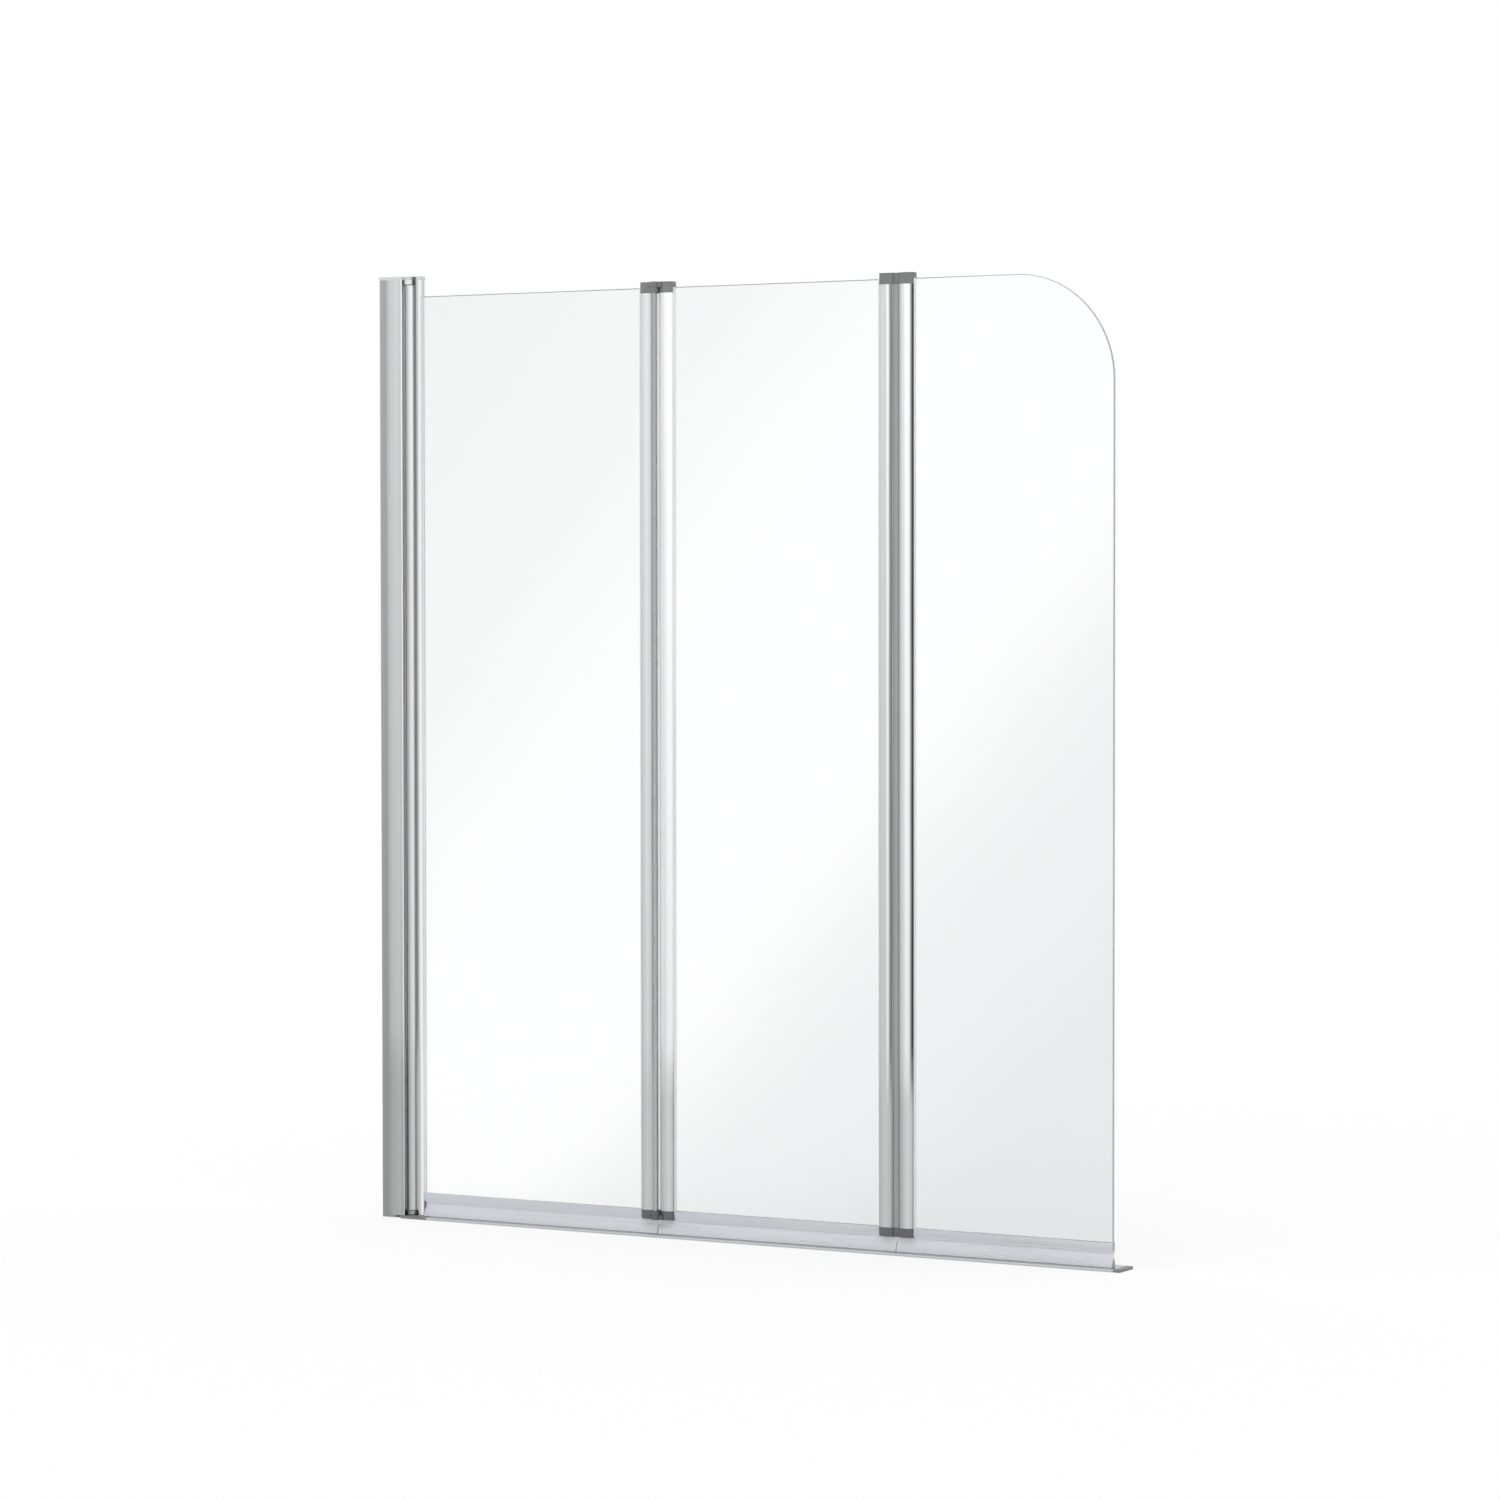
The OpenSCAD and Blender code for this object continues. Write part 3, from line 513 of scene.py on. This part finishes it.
def clear_glass(name):
    """Clear safety glass with the faint slanting painted reflections that pass from pane to pane."""
    made, tree, shader = new_finish(name, IOR=1.5, Transmission_Weight=1.0, Roughness=0.0)
    rise = math_node(tree, "MULTIPLY", along(tree, "Z"), SHADE_SLOPE)
    slant = math_node(tree, "SUBTRACT", along(tree, "X"), rise)
    cloud = spread(tree, grain(tree, 2.2, 1.0), 0, 1, -SHADE_WAVER, SHADE_WAVER)
    shade = spread(tree, math_node(tree, "ADD", slant, cloud), *SHADE_ENDS)
    link_colour(tree, shader, colour_ramp(
        tree, shade, [(at, [grey(v) for v in colour]) for at, colour in GLASS_PAINTED_REFLECTIONS]))
    return made


def ground_glass(name, colour):
    """The ground and seamed edge of the glass."""
    made, tree, shader = new_finish(name, IOR=1.5, Transmission_Weight=0.55)
    dust = grain(tree, 700, 3.0)
    link_colour(tree, shader, mottled(tree, dust, (0.3, 0.7), colour, 0.92, 1.06))
    link_roughness(tree, shader, spread(tree, dust, 0.2, 0.8, 0.22, 0.42))
    set_bump(tree, shader, dust, 0.3, 0.03 * MM)
    return made


def satin_inside(name, low=1.0):
    """The pale, unpolished inner faces of an extrusion. low is the share of their colour near the rim, as
    painted shade.
    """
    made, tree, shader = new_finish(name, Metallic=0.2)
    lines = grain(tree, detail=3.0, stretch=INSIDE_LINES)
    pale = colour_ramp(tree, lines, [(0.25, (0.86,) * 3), (0.75, (0.94,) * 3)])
    share = spread(tree, along(tree, "Z"), LOW_BANDS_END, LOW_BANDS_START, low, 1)
    link_colour(tree, shader, multiply_colours(tree, pale, share))
    link_roughness(tree, shader, spread(tree, lines, 0.2, 0.8, 0.45, 0.6))
    set_bump(tree, shader, lines, 0.15, LINE_DEPTH)
    return made


def satin_strip(name, colour):
    """Satin aluminium, brushed along the screen."""
    made, tree, shader = new_finish(name, Metallic=1.0)
    lines = grain(tree, detail=3.0, stretch=STRIP_LINES)
    link_colour(tree, shader, mottled(tree, lines, (0.25, 0.75), colour, 0.93, 1.06))
    link_roughness(tree, shader, spread(tree, lines, 0.2, 0.8, 0.30, 0.46))
    set_bump(tree, shader, lines, 0.2, LINE_DEPTH)
    return made


# ---------- shapes ----------

def merged_copy(node):
    """A copy of a solid of the frame, as whole faces."""
    shape = bmesh.new()
    shape.from_mesh(frame["nodes"][node].data)
    bmesh.ops.remove_doubles(shape, verts=shape.verts, dist=MERGE_DIST)
    bmesh.ops.dissolve_limit(shape, angle_limit=FLAT_ANGLE, verts=shape.verts, edges=shape.edges)
    shape.normal_update()
    return shape


def middle(edge):
    """The point halfway along an edge."""
    return (edge.verts[0].co + edge.verts[1].co) / 2


def corners(shape, where=None):
    """The outer corners of a shape, or those whose middle passes a test."""
    return [e for e in shape.edges
            if e.is_convex and e.calc_face_angle(0) > CORNER_ANGLE and (where is None or where(middle(e)))]


def round_off(shape, edges, radius, segments=2):
    bmesh.ops.bevel(shape, geom=edges, offset=radius, offset_type="OFFSET", segments=segments,
                    profile=0.5, affect="EDGES", clamp_overlap=True, material=-1)
    shape.normal_update()


def shells(shape):
    """The vertices of each separate shell of a shape."""
    left, groups = set(shape.verts), []
    while left:
        waiting, group = [left.pop()], []
        while waiting:
            vert = waiting.pop()
            group.append(vert)
            near = {e.other_vert(vert) for e in vert.link_edges} & left
            left -= near
            waiting.extend(near)
        groups.append(group)
    return groups


def place_piece(shape, name, node, materials, choose=None):
    """Makes a piece of a shape, in the place of a node. choose gives the number of a face's material."""
    for face in shape.faces:
        face.smooth = True
        if choose:
            face.material_index = choose(face)
    for edge in shape.edges:
        edge.smooth = edge.calc_face_angle(0) < SHARP_ANGLE
    mesh = bpy.data.meshes.new(name)
    shape.to_mesh(mesh)
    shape.free()
    for material in materials:
        mesh.materials.append(material)
    piece = bpy.data.objects.new(name, mesh)
    bpy.context.scene.collection.objects.link(piece)
    even = piece.modifiers.new("even_shading", "WEIGHTED_NORMAL")
    even.keep_sharp = True
    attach(piece, BODY_OF[node])
    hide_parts(node)


def finished(node, radius, *materials, segments=2, where=None, choose=None):
    """A node's own shape with softened corners."""
    shape = merged_copy(node)
    round_off(shape, corners(shape, where), radius, segments)
    place_piece(shape, node + "_finished", node, materials, choose)


def finished_gasket(node, radius, material):
    """A glazing gasket, so that light passes from the glass through it to the metal and back."""
    shape = merged_copy(node)
    outer_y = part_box(node)[1].y
    for vert in shape.verts:
        outwards = -1 if abs(vert.co.y) > outer_y - MERGE_DIST else 1
        vert.co.y += math.copysign(GASKET_EASE, vert.co.y) * outwards
    round_off(shape, corners(shape), radius)
    place_piece(shape, node + "_finished", node, [material])


def span_x(node):
    """The ends of a node along the screen."""
    low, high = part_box(node)
    return low.x, high.x


# ---------- operators ----------

class SCREEN_OT_stage(bpy.types.Operator):
    """Set up the pale floor, the even light and the camera"""
    bl_idname = "bath_screen.stage"
    bl_label = "Stage"

    def execute(self, context):
        stage = context.scene.screen_stage
        world = bpy.data.worlds.new("even_light")
        world.use_nodes = True
        tree = world.node_tree
        seen = self.seen(tree)
        level = spread(tree, seen, 0, 1, stage.plain_light, 1)
        tree.links.new(level, tree.nodes["Background"].inputs["Strength"])
        tree.nodes["Background"].inputs["Color"].default_value = (1, 1, 1, 1)
        context.scene.world = world

        shape = bmesh.new()
        bmesh.ops.create_circle(shape, cap_ends=True, radius=stage.floor_size, segments=FLOOR_SIDES,
                                matrix=Matrix.Translation((FLOOR_X, 0, CAD_LOW.z - FLOOR_GAP)))
        mesh = bpy.data.meshes.new("pale_floor")
        shape.to_mesh(mesh)
        shape.free()
        floor = bpy.data.objects.new("pale_floor", mesh)
        context.scene.collection.objects.link(floor)
        mesh.materials.append(self.floor_paint())

        lamp = bpy.data.lights.new("soft_lamp", "SUN")
        lamp.energy = stage.lamp
        lamp.angle = LAMP_SPREAD
        holder = bpy.data.objects.new("soft_lamp", lamp)
        holder.rotation_euler = LAMP_TURN
        context.scene.collection.objects.link(holder)

        camera = bpy.data.cameras.new("camera")
        camera.lens = stage.lens
        camera.sensor_width = SENSOR_WIDTH
        viewer = bpy.data.objects.new("camera", camera)
        viewer.matrix_world = (
            Matrix.Translation(stage.eye)
            @ Matrix.Rotation(stage.yaw, 4, "Z")
            @ Matrix.Rotation(math.pi / 2 - stage.pitch, 4, "X")
            @ Matrix.Rotation(stage.roll, 4, "Z"))
        context.scene.collection.objects.link(viewer)
        context.scene.camera = viewer
        context.scene.view_settings.view_transform = "Standard"
        return {"FINISHED"}

    @staticmethod
    def seen(tree):
        """1 where the camera sees the floor or background, straight, in metal or through glass."""
        path = add_node(tree, "ShaderNodeLightPath").outputs
        either = math_node(tree, "MAXIMUM", path["Is Camera Ray"], path["Is Glossy Ray"])
        return math_node(tree, "MAXIMUM", either, path["Is Transmission Ray"])

    def floor_paint(self):
        """Pale paint that looks white, with a faint shadow of the screen on it."""
        made = bpy.data.materials.new("pale_floor")
        made.use_nodes = True
        tree = made.node_tree
        tree.nodes.remove(tree.nodes["Principled BSDF"])
        seen = self.seen(tree)
        paint = colour_ramp(tree, seen, [(0, (FLOOR_GREY,) * 3), (1, (1 - FLOOR_WHITE,) * 3)], "LINEAR")
        diffuse = add_node(tree, "ShaderNodeBsdfDiffuse", {"Color": paint})
        strength = math_node(tree, "MULTIPLY", seen, FLOOR_WHITE)
        white = add_node(tree, "ShaderNodeEmission", {"Strength": strength})
        both = add_node(tree, "ShaderNodeAddShader", {0: diffuse.outputs[0], 1: white.outputs[0]})
        tree.links.new(both.outputs[0], tree.nodes["Material Output"].inputs["Surface"])
        return made


class SCREEN_OT_wall_profile(bpy.types.Operator):
    """Finish the wall channel, the adjusting profile over it and its side screws"""
    bl_idname = "bath_screen.wall_profile"
    bl_label = "Wall profile"

    def execute(self, context):
        shape, finish = context.scene.screen_shape, context.scene.screen_finish
        finished("wall_channel", shape.cut_edge, profile_metal("wall_channel", finish.metal_tint))
        low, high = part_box("adjusting_profile")

        def inside(face):
            """1 on the inner sides, in front of the profile's back edges."""
            at = face.calc_center_median()
            deep = abs(at.y) < high.y - PROFILE_SKIN and at.x > low.x + MM
            return deep and abs(face.normal.z) < UPRIGHT_BELOW

        finished("adjusting_profile", shape.cut_edge, profile_metal("adjusting_profile", finish.metal_tint),
                 satin_inside("inner_metal"), choose=inside)
        self.side_screws(shape.screw_dome, bright_steel("screw_steel", finish.steel))
        return {"FINISHED"}

    @staticmethod
    def side_screws(dome, steel):
        screws = merged_copy("side_screws")
        low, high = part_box("side_screws")
        screw_x = (low.x + high.x) / 2
        screw_heights = [sum(v.co.z for v in shell) / len(shell) for shell in shells(screws)]

        def rim(point):
            """On the rim of a head."""
            off_axis = min(math.hypot(point.x - screw_x, point.z - height) for height in screw_heights)
            return point.y > high.y - ON_SURFACE and off_axis > RECESS_CLEAR_R

        round_off(screws, corners(screws, rim), dome, 4)
        place_piece(screws, "side_screws_finished", "side_screws", [steel])


class SCREEN_OT_cover(bpy.types.Operator):
    """Finish the top cover with its two screws, and the caps on the pivot and the grip"""
    bl_idname = "bath_screen.cover"
    bl_label = "Top cover and caps"

    def execute(self, context):
        shape, finish = context.scene.screen_shape, context.scene.screen_finish
        low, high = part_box("top_cover")
        paint = moulded("cover_plastic", finish.cover, **COVER_SURFACE)

        def upper_rim(point):
            """On the edge round the top, and not on a screw hole."""
            by_side = abs(point.y) > high.y - COVER_RIM
            by_end = not low.x + ON_SURFACE < point.x < high.x - ON_SURFACE
            return point.z > high.z - ON_SURFACE and (by_side or by_end)

        finished("top_cover", shape.cover_edge, paint, segments=4, where=upper_rim)
        finished("grip_top_cap", shape.moulded_edge, paint)
        # the cap's sides get painted shade, darker towards the grip
        sides = moulded("pivot_cap_painted_shade_plastic", finish.cover, painted_shade=CAP_PAINTED_SHADE, **COVER_SURFACE)
        finished("top_pivot_cap", shape.moulded_edge, paint, sides,
                 choose=lambda face: abs(face.normal.z) < UPRIGHT_BELOW)
        finished("cover_screws", COVER_SCREW_EDGE, bright_steel("cover_screw_steel", finish.steel), segments=1)
        return {"FINISHED"}


class SCREEN_OT_pivots(bpy.types.Operator):
    """Finish the pivot blocks, their pins and the bushes in the column"""
    bl_idname = "bath_screen.pivots"
    bl_label = "Pivot blocks and pins"

    def execute(self, context):
        shape, finish = context.scene.screen_shape, context.scene.screen_finish
        steel = bright_steel("pin_steel", finish.steel)
        bush = moulded("bush_plastic", finish.bush, 0.4, contrast=0.05)
        cast = polished_profile("cast_block", round_column, finish.metal_tint)
        for end in ("top", "bottom"):
            finished(f"{end}_pivot_block", shape.moulded_edge, cast)
            finished(f"{end}_pivot_pin", shape.moulded_edge, steel)
            finished(f"{end}_pivot_bush", BUSH_EDGE, bush)
        return {"FINISHED"}


class SCREEN_OT_threshold(bpy.types.Operator):
    """Finish the threshold strip on the rim and its two end pieces"""
    bl_idname = "bath_screen.threshold"
    bl_label = "Threshold strip"

    def execute(self, context):
        shape, finish = context.scene.screen_shape, context.scene.screen_finish
        finished("threshold_strip", shape.cut_edge, satin_strip("strip_metal", finish.strip))
        paint = moulded("end_piece_plastic", finish.cap, 0.48)
        finished("threshold_foot", shape.moulded_edge, paint)
        finished("threshold_end_cap", shape.moulded_edge, paint)
        return {"FINISHED"}


class SCREEN_OT_column(bpy.types.Operator):
    """Finish the round pivot column with its glass grip, and the gasket in it"""
    bl_idname = "bath_screen.column"
    bl_label = "Pivot column"

    def execute(self, context):
        shape, finish = context.scene.screen_shape, context.scene.screen_finish
        grip_start = PIVOT_X + COLUMN_R + GRIP_CLEAR
        grip_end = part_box("pivot_column")[1].x
        round_metal = polished_profile("column", round_column, finish.metal_tint)
        grip_metal = polished_profile(
            "grip", lambda tree: across_x(tree, grip_start, grip_end), finish.metal_tint, even=True)

        def part(face):
            """0 on the round column, 1 on the grip and 2 on the grip's back."""
            on_grip = face.calc_center_median().x > grip_start
            return on_grip + (on_grip and face.normal.x < GRIP_BACK_BELOW)

        finished("pivot_column", shape.cut_edge, round_metal, grip_metal, satin_inside("grip_back_metal"),
                 choose=part)
        gasket = soft_extrusion("pivot_gasket_soft", finish.gasket, 0.35, 0.1)
        finished_gasket("pivot_gasket", shape.soft_edge, gasket)
        return {"FINISHED"}


class SCREEN_OT_glass(bpy.types.Operator):
    """Make the three panes, with ground edges and the rounded free corner"""
    bl_idname = "bath_screen.glass"
    bl_label = "Glass panes"

    def execute(self, context):
        shape, finish = context.scene.screen_shape, context.scene.screen_finish
        materials = [clear_glass("safety_glass"), ground_glass("glass_rim", finish.glass_edge),
                     ground_glass("glass_arris", finish.glass_bevel)]
        for i in PANES:
            low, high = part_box(f"glass_{i}")
            pane = bmesh.new()
            size = Matrix.Diagonal((*(high - low), 1))
            bmesh.ops.create_cube(pane, size=1, matrix=Matrix.Translation((low + high) / 2) @ size)
            if high.x > FREE_X - MERGE_DIST:
                free_corner = [e for e in pane.edges
                               if middle(e).x > high.x - MERGE_DIST and middle(e).z > high.z - MERGE_DIST]
                round_off(pane, free_corner, PANE_CORNER_R, PANE_CORNER_STEPS)
            outline = [e for e in pane.edges if abs(e.verts[0].co.y - e.verts[1].co.y) < MERGE_DIST]
            round_off(pane, outline, shape.glass_arris)
            place_piece(pane, f"pane_{i}", f"glass_{i}", materials, self.surface)
        return {"FINISHED"}

    @staticmethod
    def surface(face):
        """0 on a broad face, 1 on a flat rim and 2 on an arris."""
        lean = abs(face.normal.y)
        return 0 if lean > BROAD_ABOVE else 1 if lean < RIM_BELOW else 2


class SCREEN_OT_seals(bpy.types.Operator):
    """Finish the clear seals under the panes, with curved lips"""
    bl_idname = "bath_screen.seals"
    bl_label = "Bottom seals"

    def execute(self, context):
        shape, finish = context.scene.screen_shape, context.scene.screen_finish
        clear = soft_extrusion("seal_soft", finish.seal, 0.3, 0.35, upright=False)
        for i in PANES:
            node = f"bottom_seal_{i}"
            seal = merged_copy(node)
            self.curve_lips(seal)
            round_off(seal, corners(seal), shape.soft_edge)
            place_piece(seal, node + "_finished", node, [clear])
        return {"FINISHED"}

    @staticmethod
    def curve_lips(seal):
        slopes = [e for e in seal.edges
                  if min(v.co.z for v in e.verts) < LIP_TIP_Z and max(v.co.z for v in e.verts) > LIP_ROOT_Z]
        foot = min(v.co.z for v in seal.verts)
        root = max(v.co.z for e in slopes for v in e.verts)
        old = set(seal.verts)
        bmesh.ops.subdivide_edges(seal, edges=slopes, cuts=LIP_CUTS)
        for vert in set(seal.verts) - old:
            share = (vert.co.z - foot) / (root - foot)
            lean = LIP_LEAN.copy()
            lean.y *= math.copysign(1, vert.co.y)
            vert.co += lean * (LIP_BULGE * math.sin(math.pi * share))
        seal.normal_update()


class SCREEN_OT_hinges(bpy.types.Operator):
    """Finish both folding hinges: leaves, caps, rods, gaskets and water strips"""
    bl_idname = "bath_screen.hinges"
    bl_label = "Folding hinges"

    def execute(self, context):
        shape, finish = context.scene.screen_shape, context.scene.screen_finish
        # the lower caps' darker colour is painted shade
        caps = {"top": moulded("hinge_cap_plastic", finish.cap, 0.45),
                "bottom": moulded("lower_hinge_cap_shaded_plastic", finish.shaded_low_cap, 0.45)}
        steel = bright_steel("rod_steel", finish.steel)
        gasket = soft_extrusion("glazing_gasket_soft", finish.gasket, 0.35, 0.1)
        # the outer strip's dark grey is painted shade
        water = {1: soft_extrusion("inner_water_strip_soft", finish.gasket, 0.25, 0.85),
                 2: soft_extrusion("outer_water_strip_shaded_soft", finish.shaded_outer_strip, 0.45, 0.0)}
        for fold in FOLDS:
            for leaf in ("a", "b"):
                node = f"hinge_{fold}_leaf_{leaf}"
                metals, choose = [profile_metal(node, finish.metal_tint)], None
                if node == SATIN_END:
                    # its satin end darkens near the rim with painted shade
                    metals.append(satin_inside("leaf_end_metal", SATIN_END_SHADED_LOW))
                    choose = self.at_fold
                finished(node, shape.cut_edge, *metals, choose=choose)
                finished_gasket(f"hinge_{fold}_gasket_{leaf}", shape.soft_edge, gasket)
                for end, cap in caps.items():
                    finished(f"hinge_{fold}_{end}_cap_{leaf}", shape.moulded_edge, cap)
            finished(f"hinge_{fold}_rod", shape.moulded_edge, steel)
            finished(f"hinge_{fold}_water_strip", shape.soft_edge, water[fold])
        return {"FINISHED"}

    @staticmethod
    def at_fold(face):
        """1 on the leaf's rounded end."""
        return face.normal.x < LEAF_END_BELOW


STEPS = (
    SCREEN_OT_stage, SCREEN_OT_wall_profile, SCREEN_OT_cover, SCREEN_OT_pivots, SCREEN_OT_threshold,
    SCREEN_OT_column, SCREEN_OT_glass, SCREEN_OT_seals, SCREEN_OT_hinges,
)


class SCREEN_PT_panel(bpy.types.Panel):
    """Lists the steps that finish the bath screen"""
    bl_idname = "SCREEN_PT_panel"
    bl_label = "Bath Screen"
    bl_space_type = "VIEW_3D"
    bl_region_type = "UI"
    bl_category = "Bath Screen"

    def draw(self, context):
        for step in STEPS:
            self.layout.operator(step.bl_idname)
        for group in SETTINGS:
            settings = getattr(context.scene, group)
            for name in settings.bl_rna.properties.keys():
                if name not in ("rna_type", "name"):
                    self.layout.prop(settings, name)


SETTINGS = {"screen_shape": ScreenShape, "screen_finish": ScreenFinish, "screen_stage": ScreenStage}
CLASSES = (*SETTINGS.values(), *STEPS, SCREEN_PT_panel)


def register():
    for cls in CLASSES:
        bpy.utils.register_class(cls)
    for name, group in SETTINGS.items():
        setattr(bpy.types.Scene, name, PointerProperty(type=group))


def unregister():
    for name in SETTINGS:
        delattr(bpy.types.Scene, name)
    for cls in reversed(CLASSES):
        bpy.utils.unregister_class(cls)


def main():
    register()
    for step in STEPS:
        family, name = step.bl_idname.split(".")
        getattr(getattr(bpy.ops, family), name)()


if __name__ == "__main__":
    main()
